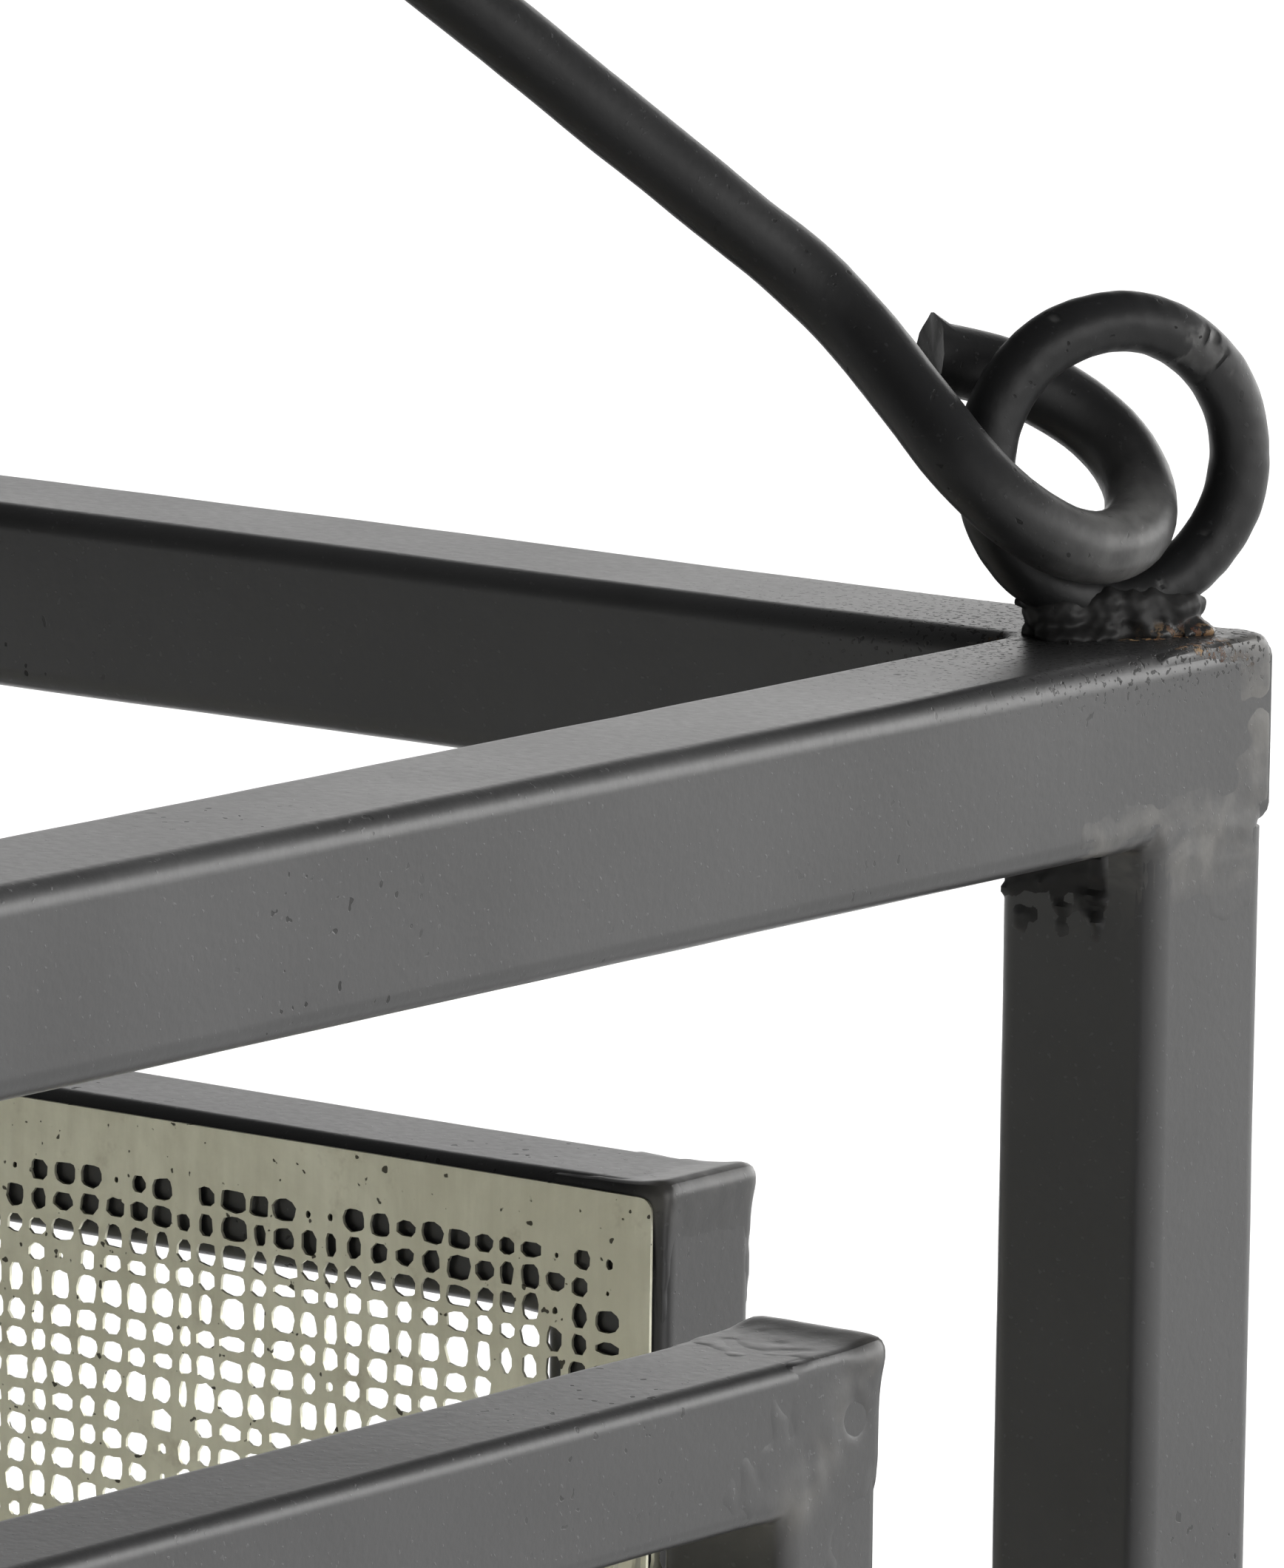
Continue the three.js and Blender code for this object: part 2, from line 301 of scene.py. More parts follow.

# %% [markdown]
# ### Rod paint
# The bail and the rings are a duller, deeper black with a coarser skin, from the same recipe. Their
# marks put rubbed paint, painted lighter as a highlight, where the eyes hang on the rings, and one
# flake on each ring's shoulder.
# %% Mix the rod paint
rod_paint = paint("rod_paint", (0.0068, 0.0069, 0.0072), 0.46, 0.5, 0.24)
print(rod_paint.name, "has", len(rod_paint.node_tree.nodes), "nodes")

# %% [markdown]
# ### Etched sheet
# Nickel silver, acid etched right through. The acid leaves a matt surface with clouds of warm grey,
# faint brushing, brownish stains, and dark specks where the resist broke down.
# %% Mix the sheet metal
etched = Finish("etched_metal", Metallic=1.0)
cloud = etched.noise(60, 6.0, 0.65, twist=0.6)
brushed = etched.noise(900, 3.0, stretch=(1, 1, 0.16))
fine = etched.noise(1400, 2.0)
specks = etched.noise(1250, 1.5, 0.5).between(0.705, 0.735)
stain = etched.noise(150, 5.0, 0.7).between(0.55, 0.72)
tone = (0.75 * cloud + 0.25 * brushed).between(0.32, 0.68).blend((0.52, 0.51, 0.41), (0.69, 0.685, 0.57))
tone = (0.45 * stain).blend(tone, (0.30, 0.265, 0.20))
tone = (0.8 * specks).blend(tone, (0.03, 0.026, 0.02))
etched.bump(0.35 * fine + 0.3 * cloud + 0.2 * brushed - 0.4 * specks, RELIEF_DEPTH)
etched_metal = etched.feed(
    Base_Color=tone, Roughness=0.42 + 0.16 * cloud + 0.08 * fine + 0.3 * specks)
print(etched_metal.name, "has", len(etched_metal.node_tree.nodes), "nodes")

# %% [markdown]
# ### Wax and wick
# Wax lets light in a little way, which Subsurface gives. Its surface is mottled where it cooled.
# Cotton is matt, with fibres that run along the wick.
# %% Mix the wax and the cotton
poured = Finish("poured_wax", Subsurface_Weight=0.35, Subsurface_Scale=0.004, IOR=1.44,
                Subsurface_Radius=(1.0, 0.6, 0.35))
cloud, fine = poured.noise(55, 5.0, 0.6), poured.noise(500, 3.0)
wax_tone = cloud.between(0.3, 0.7).blend((0.72, 0.64, 0.50), (0.86, 0.80, 0.68))
poured.bump(0.7 * cloud + 0.2 * fine, 0.0002)
poured_wax = poured.feed(Base_Color=wax_tone, Roughness=0.42 + 0.2 * fine)

braid = Finish("cotton_braid", Sheen_Weight=0.3)
fibre = braid.noise(2600, 3.0, stretch=(1, 1, 0.25))
braid.bump(fibre, 0.0001)
cotton_tone = fibre.between(0.3, 0.7).blend((0.50, 0.46, 0.37), (0.76, 0.72, 0.62))
cotton_braid = braid.feed(Base_Color=cotton_tone, Roughness=0.8 + 0.15 * fibre)
print("wax and cotton mixed")

# %% [markdown]
# ### Floor
# A plain pale floor, with only the faint unevenness of a painted board.
# %% Lay the floor
board = Finish("pale_floor", Specular_IOR_Level=0.2)
grain = board.noise(3.0, 4.0)
floor_tone = grain.between(0.3, 0.7).blend((0.84, 0.84, 0.84), (0.87, 0.87, 0.865))
pale_floor = board.feed(Base_Color=floor_tone, Roughness=0.75 + 0.1 * grain)
FLOOR_REACH, FLOOR_CELLS = 14.0, 8
work = bmesh.new()
bmesh.ops.create_grid(work, x_segments=FLOOR_CELLS, y_segments=FLOOR_CELLS, size=FLOOR_REACH)
floor_mesh = bpy.data.meshes.new("floor")
work.to_mesh(floor_mesh)
work.free()
floor_mesh.materials.append(pale_floor)
floor = bpy.data.objects.new("floor", floor_mesh)
scene.collection.objects.link(floor)
print("floor", 2 * FLOOR_REACH, "m across")

# %% [markdown]
# ## Tools for making pieces
# Every piece is a list of points and of faces, worked out with numpy. `make_piece` turns them into a
# mesh with its faces all turned outwards, gives it its finish, and lets it ride on a body in the
# place of the CAD nodes that it stands for. A piece in frame paint also gets its "spatter" mark
# there, from how near each point is to a ring.
# %% Make a piece from points and faces
SPATTER_REACH, SPATTER_DEPTH = 24 * MM, 3 * MM
ring_feet = [np.array([*((low + high) / 2).xy, top_high.z]) for low, high in
             (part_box(f"ring_{name}") for name in ("back_right", "front_left"))]


def near_ring(points):
    """1 at the foot of a ring, fading to 0 about 40 mm away and a few millimetres below."""
    away = np.min([np.linalg.norm(points - foot, axis=1) for foot in ring_feet], axis=0)
    return np.exp(-((away / SPATTER_REACH) ** 2) - ((top_high.z - points[:, 2]) / SPATTER_DEPTH) ** 2)


def make_piece(name, points, faces, finish, instead=(), body="frame", sharp=35, marks=None):
    """A mesh object in its finish, on its body, which stands for the CAD nodes in instead."""
    mesh = bpy.data.meshes.new(name)
    if finish is frame_paint:
        marks = {"spatter": near_ring(points), **(marks or {})}
    mesh.from_pydata(np.asarray(points).tolist(), [], [tuple(map(int, face)) for face in faces])
    work = bmesh.new()
    work.from_mesh(mesh)
    bmesh.ops.recalc_face_normals(work, faces=work.faces)
    work.to_mesh(mesh)
    work.free()
    for label, values in (marks or {}).items():
        layer = mesh.attributes.new(label, "FLOAT", "POINT")
        layer.data.foreach_set("value", np.asarray(values, np.float32))
    mesh.shade_smooth()
    mesh.set_sharp_from_angle(angle=math.radians(sharp))
    mesh.materials.append(finish)
    piece = bpy.data.objects.new(name, mesh)
    scene.collection.objects.link(piece)
    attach(piece, body)
    if instead:
        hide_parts(*instead)


print("pieces ride, replace and carry marks")

# %% [markdown]
# `ripple` is smooth noise for shapes: a sum of waves, drawn with a fixed seed so that each run gives
# the same lantern. `near` and `fade` say how strongly something acts from how far away it is. The
# last two helpers join rows of points into faces.
# %% Shape the points and join them
RIPPLE_WAVES, RIPPLE_SPREAD = 14, 3.4


def ripple(points, length, seed):
    """Smooth noise at each point, mostly from -1 to 1, with waves of about that length."""
    draw = np.random.default_rng(seed)
    ways = draw.normal(size=(RIPPLE_WAVES, 3))
    ways /= np.linalg.norm(ways, axis=1)[:, None]
    ways *= (2 * math.pi / length * draw.uniform(0.6, 1.5, RIPPLE_WAVES))[:, None]
    starts = draw.uniform(0, 2 * math.pi, RIPPLE_WAVES)
    return np.sin(np.asarray(points) @ ways.T + starts).sum(1) / RIPPLE_SPREAD


def near(away, reach):
    """1 where away is 0, fading to nothing at about twice the reach."""
    return np.exp(-(away / reach) ** 2)


def fade(values, low, high):
    """0 below low, 1 above high, smooth in between, like between() in a material."""
    share = np.clip((np.asarray(values) - low) / (high - low), 0, 1)
    return share * share * (3 - 2 * share)


def angles_round(count):
    return np.arange(count) * 2 * math.pi / count


def tube_faces(rows, count):
    """Faces of a skin over rows of points, with a point in the middle of each end."""
    faces = []
    for i in range(rows - 1):
        for j in range(count):
            k = (j + 1) % count
            a, b = i * count, (i + 1) * count
            faces.append((a + j, a + k, b + k, b + j))
    first, last = rows * count, rows * count + 1
    end = (rows - 1) * count
    for j in range(count):
        k = (j + 1) % count
        faces += [(first, k, j), (last, end + j, end + k)]
    return faces


def closed_faces(rows, count):
    """Faces of a skin over rows of points whose last row joins the first."""
    faces = []
    for i in range(rows):
        for j in range(count):
            k = (j + 1) % count
            a, b = i * count, (i + 1) % rows * count
            faces.append((a + j, b + j, b + k, a + k))
    return faces


print("a skin of 2 rows of 8 has", len(tube_faces(2, 8)), "faces")

# %% [markdown]
# ## Square tube
# Rolled square tube has rounded edges and faces that are never quite flat. The section is drawn
# once, with edge loops close to each rounding so that the faces stay flat beside it. A rail is that
# section carried along a line, and its ends are cut at 45 degrees: a point further out in the frame
# starts earlier and ends later. The slow ripple comes from the place in space, so two tubes that
# meet at a mitre ripple alike and stay flush.
# %% Draw the tube's section and carry it along
WAVE, WAVE_LENGTH = 0.035 * MM, 60 * MM
DENT, DENT_LENGTH = 0.010 * MM, 11 * MM


def tube_section(side, rounding, bends=5):
    """Points round a square tube and the way that each one faces, both as (outward, normal)."""
    half, points, ways = side / 2 - rounding, [], []
    flat = np.array([0.02, 0.1, 0.25, 0.42, 0.58, 0.75, 0.9, 0.98])
    for quarter in range(4):
        cos, sin = math.cos(quarter * math.pi / 2), math.sin(quarter * math.pi / 2)
        corner = np.array([cos - sin, sin + cos]) * half
        for k in range(bends + 1):
            angle = (quarter + k / bends) * math.pi / 2
            way = np.array([math.cos(angle), math.sin(angle)])
            points.append(corner + rounding * way)
            ways.append(way)
        start, way = points[-1], ways[-1]
        for share in flat:
            points.append(start + 2 * half * share * np.array([-way[1], way[0]]))
            ways.append(way)
    return np.array(points), np.array(ways)


def carry_tube(middle, along, outward, normal, length, side, rounding, cut, step=2.0 * MM):
    """Points and faces of a tube round a line. cut is 1 for mitred ends and 0 for square ones."""
    section, ways = tube_section(side, rounding)
    rings = max(2, round(length / step)) + 1
    along, outward, normal, middle = (np.array(v, float) for v in (along, outward, normal, middle))
    reach = length / 2 - cut * (side / 2 - section[:, 0])
    share = np.linspace(-1, 1, rings)[:, None]
    points = (middle + (share * reach)[..., None] * along
              + section[:, :1] * outward + section[:, 1:] * normal)
    facing = np.broadcast_to(ways[:, :1] * outward + ways[:, 1:] * normal, points.shape)
    points, facing = points.reshape(-1, 3), facing.reshape(-1, 3)
    uneven = WAVE * ripple(points, WAVE_LENGTH, 1) + DENT * ripple(points, DENT_LENGTH, 2)
    points = points + facing * uneven[:, None]
    half = length / 2 - cut * side / 2
    ends = [middle - along * half, middle + along * half]
    return np.vstack([points, ends]), tube_faces(rings, len(section))


print(len(tube_section(tube, 1.5 * MM)[0]), "points round the tube")

# %% [markdown]
# ## The frame
# The top and bottom squares are four rails each, and four posts stand between them. The real joints
# are welded shut, so the rails meet here without the gap that the CAD keeps for its checks.
# %% Build the rails and the posts
FRAME_ROUNDING, SCREEN_ROUNDING = 1.5 * MM, 1.1 * MM
X, Y, Z = Vector((1, 0, 0)), Vector((0, 1, 0)), Vector((0, 0, 1))


def mitred_square(names, middle, right, up, normal, width, height, side, rounding):
    """Four mitred tubes round a rectangle, in the order bottom, right, top, left of its plane."""
    turns = ((right, -up), (up, right), (-right, up), (-up, -right))
    for quarter, (name, (along, outward)) in enumerate(zip(names, turns)):
        length, across = (width, height) if quarter % 2 == 0 else (height, width)
        points, faces = carry_tube(middle + outward * (across - side) / 2, along, outward, normal,
                                   length, side, rounding, cut=1)
        make_piece(f"{name}_tube", points, faces, frame_paint, [name])


for level, low, high in (("bottom", bottom_low, bottom_high), ("top", top_low, top_high)):
    names = [f"{level}_rail_{side}" for side in SIDES]
    size = high - low
    mitred_square(names, (low + high) / 2, X, Y, Z, size.x, size.y, tube, FRAME_ROUNDING)
post_length = top_low.z - bottom_high.z
for name, sx, sy in CORNERS:
    middle = Vector((sx * (top_high.x - tube / 2), sy * (top_high.y - tube / 2),
                     bottom_high.z + post_length / 2))
    points, faces = carry_tube(middle, Z, X, Y, post_length, tube, FRAME_ROUNDING, cut=0)
    make_piece(f"post_{name}_tube", points, faces, frame_paint, [f"post_{name}"])
print("8 rails and 4 posts")

# %% [markdown]
# ## Fusing shapes
# A weld runs two parts into one, which is hard to draw face by face. Voxel remeshing does it: rough
# shapes that overlap are filled with small cubes, and a new skin is drawn over all of them. A few
# rounds of smoothing then soften the skin into fillets. The skin is nudged in numpy afterwards.
# %% Fuse overlapping shapes
def block(work, low, high, axis, rounding):
    """Adds a block whose long edges, those along axis, are rounded."""
    corners = bmesh.ops.create_cube(work, size=1)["verts"]
    for corner in corners:
        corner.co = [low[i] + (corner.co[i] + 0.5) * (high[i] - low[i]) for i in range(3)]
    edges = {edge for corner in corners for edge in corner.link_edges
             if abs((edge.verts[0].co - edge.verts[1].co)[axis]) > 1e-6}
    bmesh.ops.bevel(work, geom=list(edges), offset=rounding, segments=5, profile=0.5, affect="EDGES")


def fuse(work, voxel, rounds):
    """One smooth skin over everything in work: its points, its faces and the way each point faces."""
    mesh = bpy.data.meshes.new("rough")
    work.to_mesh(mesh)
    work.free()
    rough = bpy.data.objects.new("rough", mesh)
    scene.collection.objects.link(rough)
    skin = rough.modifiers.new("skin", "REMESH")
    skin.mode, skin.voxel_size, skin.adaptivity = "VOXEL", voxel, 0
    soft = rough.modifiers.new("soft", "SMOOTH")
    soft.factor, soft.iterations = 0.5, rounds
    made = bpy.data.meshes.new_from_object(rough.evaluated_get(bpy.context.evaluated_depsgraph_get()))
    points, ways = np.empty(len(made.vertices) * 3), np.empty(len(made.vertices) * 3)
    made.vertices.foreach_get("co", points)
    made.vertex_normals.foreach_get("vector", ways)
    faces = [tuple(face.vertices) for face in made.polygons]
    bpy.data.objects.remove(rough)
    return points.reshape(-1, 3), faces, ways.reshape(-1, 3)


print("blocks can be fused")

# %% [markdown]
# ## Welded corners of the frame
# Where a post meets two mitred rails the welder filled the joint and ground it smooth. The corner is
# a fused piece a little proud of the tubes at the weld lines. It sinks under their skin a few
# millimetres further on, along a ragged edge, so it seems to grow out of them. A notch is left at the
# outer edge where the wheel didn't reach, and drops of spatter hang under the rails inside. The two
# corners under the rings are sooty round the ring's foot, with a patch of rust a few millimetres
# further out.
# %% Weld the frame's corners
ARM, WELD_VOXEL = 9 * MM, 0.35 * MM
RUST_OUTWARD = (5.2, 0.6, 0)


def corner_skin(corner, inward, arms, side, rounding, rounds):
    """A fused stub of each tube that meets at a corner, and each point's distance into the corner."""
    work = bmesh.new()
    for arm in arms:
        reach = [side + ARM * (i == arm) for i in range(3)]
        ends = [(corner[i], corner[i] + inward[i] * reach[i]) for i in range(3)]
        block(work, [min(e) for e in ends], [max(e) for e in ends], arm, rounding)
    points, faces, ways = fuse(work, WELD_VOXEL, rounds)
    return points, faces, ways, (points - np.array(corner)) * inward


def weld_frame_corner(name, corner, inward):
    """The weld at a corner of the frame, from its outermost point and the signs that lead inwards."""
    points, faces, ways, into = corner_skin(corner, inward, (0, 1, 2), tube, FRAME_ROUNDING, 5)
    mitre = np.abs(into[:, 0] - into[:, 1]) / math.sqrt(2) + 40 * np.maximum(into[:, 2] - tube, 0)
    butt = np.abs(into[:, 2] - tube)
    seam = np.minimum(mitre, butt)
    lumps = ripple(points, 2.4 * MM, 3)
    inside = ((ways * inward)[:, :2].max(1) > 0.5) & (into[:, :2].min(1) > tube * 0.3)
    under = inside * fade(into[:, 2], tube - 1 * MM, tube)
    under = under * (1 - fade(into[:, 2] + MM * lumps, tube + 4 * MM, tube + 7 * MM))
    notch = np.exp(-(((into - [0, 0, tube]) / (1.0 * MM)) ** 2).sum(1))
    lift = ((0.06 + 0.03 * lumps) * near(seam, 2.2 * MM) + 0.02
            - 0.12 * fade(seam + 1.2 * MM * lumps, 4 * MM, 7.5 * MM)
            + 0.30 * under * np.maximum(ripple(points, 1.9 * MM, 4), 0) - 0.55 * notch)
    ground = near(seam, 3.5 * MM) * (1 - under)
    heat, rust = np.zeros(len(points)), np.zeros(len(points))
    for foot in ring_feet:
        from_foot = points - foot
        from_rust = from_foot + inward * RUST_OUTWARD * MM
        heat += near(np.linalg.norm(from_foot, axis=1), 6.5 * MM)
        rust += near(np.linalg.norm(from_rust, axis=1), 3.4 * MM)
    rust = fade(rust + 0.25 * ripple(points, 4 * MM, 31), 0.3, 0.6) * near_ring(points) ** 3
    scorched = 0.75 * fade(heat + 0.2 * lumps, 0.35, 0.8) * (1 - rust)
    make_piece(name, points + ways * (lift * MM)[:, None], faces, frame_paint,
               marks={"ground": ground * (1 - fade(heat, 0.1, 0.4)), "rust": rust,
                      "soot": np.maximum(under, scorched)})
    return len(points)


count = 0
for level, height, way in (("top", top_high.z, -1), ("bottom", bottom_low.z, 1)):
    for name, sx, sy in CORNERS:
        corner = (sx * top_high.x, sy * top_high.y, height)
        count += weld_frame_corner(f"weld_{level}_{name}", corner, np.array([-sx, -sy, way]))
print("8 ground welds,", count, "points")

# %% [markdown]
# ## Screens
# Each screen is a frame of thinner tube. It isn't ground as well as the outer frame: a bead stands
# proud along each mitre, and the corners are left a little lumpy and overhanging.
# %% Build the screens' tubes and welds
SCREENS = (("front", -Y, X), ("right", X, Y), ("back", Y, -X), ("left", -X, -Y))


def weld_screen_corner(name, corner, inward, arms, side):
    """The weld at a corner of a screen whose two tubes, side thick, run along the axes in arms."""
    points, faces, ways, into = corner_skin(corner, inward, arms, side, SCREEN_ROUNDING, 2)
    a, b = into[:, arms[0]], into[:, arms[1]]
    seam = np.abs(a - b) / math.sqrt(2)
    lumps = ripple(points, 2.6 * MM, 5)
    outer = 1 - fade(np.minimum(a, b), 0.2 * MM, 2.0 * MM)
    bead = near(a + b - 9 * MM * outer, 5 * MM) * outer + 0.35 * (1 - outer)
    overhang = np.exp(-(a ** 2 + b ** 2) / (2.2 * MM) ** 2)
    dent = np.exp(-((a - 3 * MM) ** 2 + (b - 4.5 * MM) ** 2) / (0.9 * MM) ** 2)
    dent = dent * np.maximum(-ways @ inward, 0)
    lift = ((0.32 + 0.12 * lumps) * bead * near(seam, 2.0 * MM) + 0.45 * overhang + 0.02
            - 0.12 * fade(seam + 1.2 * MM * lumps, 4 * MM, 7 * MM) - 0.55 * dent)
    ground = 0.8 * near(seam, 1.6 * MM)
    make_piece(name, points + ways * (lift * MM)[:, None], faces, frame_paint,
               marks={"ground": ground})


for side, normal, right in SCREENS:
    names = [f"screen_{side}_{edge}" for edge in ("bottom", "right", "top", "left")]
    low, high = around(*names)
    size = high - low
    flat = 1 if normal.y else 0
    width, screen_tube = size[1 - flat], size[flat]
    mitred_square(names, (low + high) / 2, right, Z, normal, width, size.z, screen_tube, SCREEN_ROUNDING)
    face = high[flat] if normal[flat] > 0 else low[flat]
    for level, height, way in (("top", high.z, -1), ("bottom", low.z, 1)):
        for hand, across in (("left", -1), ("right", 1)):
            edge = (low + high)[1 - flat] / 2 + across * right[1 - flat] * width / 2
            corner, inward = [0, 0, height], [0, 0, way]
            corner[flat], corner[1 - flat] = face, edge
            inward[flat], inward[1 - flat] = -normal[flat], -across * right[1 - flat]
            weld_screen_corner(f"weld_{side}_{level}_{hand}", corner, np.array(inward), (1 - flat, 2),
                               screen_tube)
print("4 screens, 16 tubes and 16 welds")

# %% [markdown]
# ## Etched sheets
# The mesh of each screen is one thin sheet with thousands of small holes, eaten through by acid. A
# texture with transparency would look flat from close by, because the edge of each hole catches
# light. So the holes are real. The sheet is a net of crossing lines with a hole in each cell, and a
# plain border outside. The lines wander and the holes differ, as they do when the resist is brushed
# on by hand: some are large, some only a pin prick, and a few are closed. The sheet is thinner than
# the CAD's plate. It lies flush with the plate's outer face and runs a little way into the tubes.
# %% Etch a sheet
PITCH_ACROSS, PITCH_UP = 2.12 * MM, 2.04 * MM
BORDER_ACROSS, BORDER_UP = 2.5 * MM, 3.7 * MM
SHEET_CORNER, SHEET_THICK, SHEET_OVERLAP = 0.9 * MM, 0.25 * MM, 0.6 * MM
WANDER, JITTER, DRIFT_ACROSS, DRIFT_UP = 0.11 * MM, 0.085 * MM, 0.17 * MM, 0.15 * MM
STRAY_LIMIT = 0.5 * MM


def lines_of_net(width, height, seed):
    """Where the lines of the net cross, as [across, up] points, and the draw that goes on from it."""
    draw = np.random.default_rng(seed)
    wide, tall = width - 2 * BORDER_ACROSS, height - 2 * BORDER_UP
    across, up = round(wide / PITCH_ACROSS), round(tall / PITCH_UP)
    x = (np.arange(across + 1) / across - 0.5) * wide
    y = (np.arange(up + 1) / up - 0.5) * tall
    net = np.stack(np.meshgrid(x, y, indexing="ij"), -1)
    flat = np.dstack([net, np.zeros(net.shape[:2])]).reshape(-1, 3)
    wander = np.stack([ripple(flat, 15 * MM, seed + k).reshape(net.shape[:2]) for k in (1, 2)], -1)
    stray = WANDER * wander + JITTER * draw.normal(size=net.shape)
    stray[..., 0] += DRIFT_ACROSS * draw.normal(size=(across + 1, 1))
    stray[..., 1] += DRIFT_UP * draw.normal(size=(1, up + 1))
    return net + np.clip(stray, -STRAY_LIMIT, STRAY_LIMIT), draw


def holes_in(net, draw):
    """The outline of the hole in each cell, as (4 corners, 3 points), and which are closed or coarse."""
    ne, nw, sw, se = net[1:, 1:], net[:-1, 1:], net[:-1, :-1], net[1:, :-1]
    half_x = (np.minimum(ne[..., 0], se[..., 0]) - np.maximum(nw[..., 0], sw[..., 0])) / 2
    half_y = (np.minimum(ne[..., 1], nw[..., 1]) - np.maximum(se[..., 1], sw[..., 1])) / 2
    a = np.maximum(half_x - np.clip(draw.normal(0.25, 0.075, half_x.shape), 0.12, 0.5) * MM, 0.14 * MM)
    b = np.maximum(half_y - np.clip(draw.normal(0.185, 0.065, half_y.shape), 0.09, 0.45) * MM, 0.16 * MM)
    rim_cells = np.zeros(a.shape, bool)
    rim_cells[:, -1:] = rim_cells[:, :1] = rim_cells[-1:] = rim_cells[:1] = True
    luck = draw.uniform(size=a.shape)
    pin = luck < np.where(rim_cells, 0.30, 0.045)
    closed = luck > np.where(rim_cells, 0.90, 0.985)
    size = draw.uniform(0.12, 0.34, size=a.shape) * MM
    a, b = np.where(pin, size, a), np.where(pin, 1.2 * size, b)
    small = a * b < np.quantile(a * b, 0.52)
    rims = []
    for k, (sx, sy) in enumerate(((1, -1), (1, 1), (-1, 1), (-1, -1))):
        bend = draw.uniform(0.42, 0.90, size=(2, *a.shape)) * np.where(small, 0.82, 1)
        cx, cy = a * bend[0], b * bend[1]
        turns = (k - 1 + np.array([0, 0.5, 1])) * math.pi / 2
        arc = [np.stack([sx * (a - cx) + cx * math.cos(t), sy * (b - cy) + cy * math.sin(t)], -1)
               for t in turns]
        rims.append(np.stack(arc, -2))
    rims = np.stack(rims, 2)
    rims += np.minimum(a, b)[..., None, None, None] * 0.05 * draw.normal(size=rims.shape)
    rims += ((ne + nw + sw + se) / 4)[:, :, None, None]
    return rims, closed, small


def etched_face(width, height, seed):
    """Points (across, up) of one face of a sheet, its faces, the holes' rims and the outer rim."""
    net, draw = lines_of_net(width, height, seed)
    rims, closed, coarse = holes_in(net, draw)
    index = np.arange(net[..., 0].size).reshape(net.shape[:2])
    points, faces, loops, count = [net.reshape(-1, 2)], [], [], index.size
    for i, j in np.ndindex(closed.shape):
        c = (index[i + 1, j], index[i + 1, j + 1], index[i, j + 1], index[i, j])
        if closed[i, j]:
            faces.append(c)
            continue
        rim = rims[i, j][:, ::2] if coarse[i, j] else rims[i, j]
        each = rim.shape[1]
        loop = list(range(count, count + 4 * each))
        count += 4 * each
        points.append(rim.reshape(-1, 2))
        loops.append(loop)
        for k in range(4):
            n, arc = (k + 1) % 4, loop[k * each:(k + 1) * each]
            faces.append((c[k], c[n], loop[n * each], arc[-1]))
            faces += [(c[k], arc[m + 1], arc[m]) for m in range(each - 1)]
    starts, ends = [], []
    borders = ((index[:, 0], (0, -1)), (index[-1], (1, 0)),
               (index[::-1, -1], (0, 1)), (index[0, ::-1], (-1, 0)))
    for line, way in borders:
        way = np.array(way)
        along = np.array([-way[1], way[0]])
        half_along, half_out = (width / 2, height / 2) if way[1] else (height / 2, width / 2)
        spread = np.linspace(-1, 1, len(line))[:, None] * (half_along - SHEET_CORNER)
        straight = way * half_out + along * spread
        centre = straight[-1] - way * SHEET_CORNER
        arc = [centre + SHEET_CORNER * (way * math.cos(t) + along * math.sin(t))
               for t in np.linspace(0, math.pi / 2, 6)[1:-1]]
        starts.append(count)
        points += [straight, np.array(arc)]
        faces += [(line[k], line[k + 1], count + k + 1, count + k) for k in range(len(line) - 1)]
        last = count + len(line) - 1
        faces += [(line[-1], last + k + 1, last + k) for k in range(len(arc))]
        count = last + len(arc) + 1
        ends.append((line[-1], count - 1))
    faces += [(corner, starts[(k + 1) % 4], last) for k, (corner, last) in enumerate(ends)]
    return np.vstack(points), faces, loops, list(range(starts[0], count))


def thick_sheet(name, node, normal, right, seed):
    """An etched sheet in the place of a CAD plate; gives its number of holes and of triangles."""
    low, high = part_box(node)
    flat = 1 if normal.y else 0
    width, height = (high - low)[1 - flat] + 2 * SHEET_OVERLAP, (high - low).z + 2 * SHEET_OVERLAP
    drawn, faces, rims, outer = etched_face(width, height, seed)
    way = np.array(normal)
    middle = np.array((low + high) / 2) + way * ((high - low)[flat] - SHEET_THICK) / 2
    plane = middle + drawn[:, :1] * np.array(right) + drawn[:, 1:] * UP
    bend = 0.03 * MM * ripple(plane, 35 * MM, seed + 7) + 0.006 * MM * ripple(plane, 5 * MM, seed + 8)
    plane = plane - way * np.abs(bend)[:, None]
    points = np.vstack([plane - way * SHEET_THICK / 2, plane + way * SHEET_THICK / 2])
    back = len(plane)
    every = faces + [tuple(back + k for k in reversed(face)) for face in faces]
    for rim in [*rims, outer]:
        every += [(here, after, back + after, back + here) for here, after in zip(rim, rim[1:] + rim[:1])]
    make_piece(name, points, every, etched_metal, [node], sharp=40)
    return len(rims), sum(len(face) - 2 for face in every)


for seed, (side, normal, right) in zip((40, 50, 60, 70), SCREENS):
    holes, count = thick_sheet(f"etched_sheet_{side}", f"screen_{side}_sheet", normal, right, seed)
    print(side, "sheet:", holes, "holes,", count, "triangles")

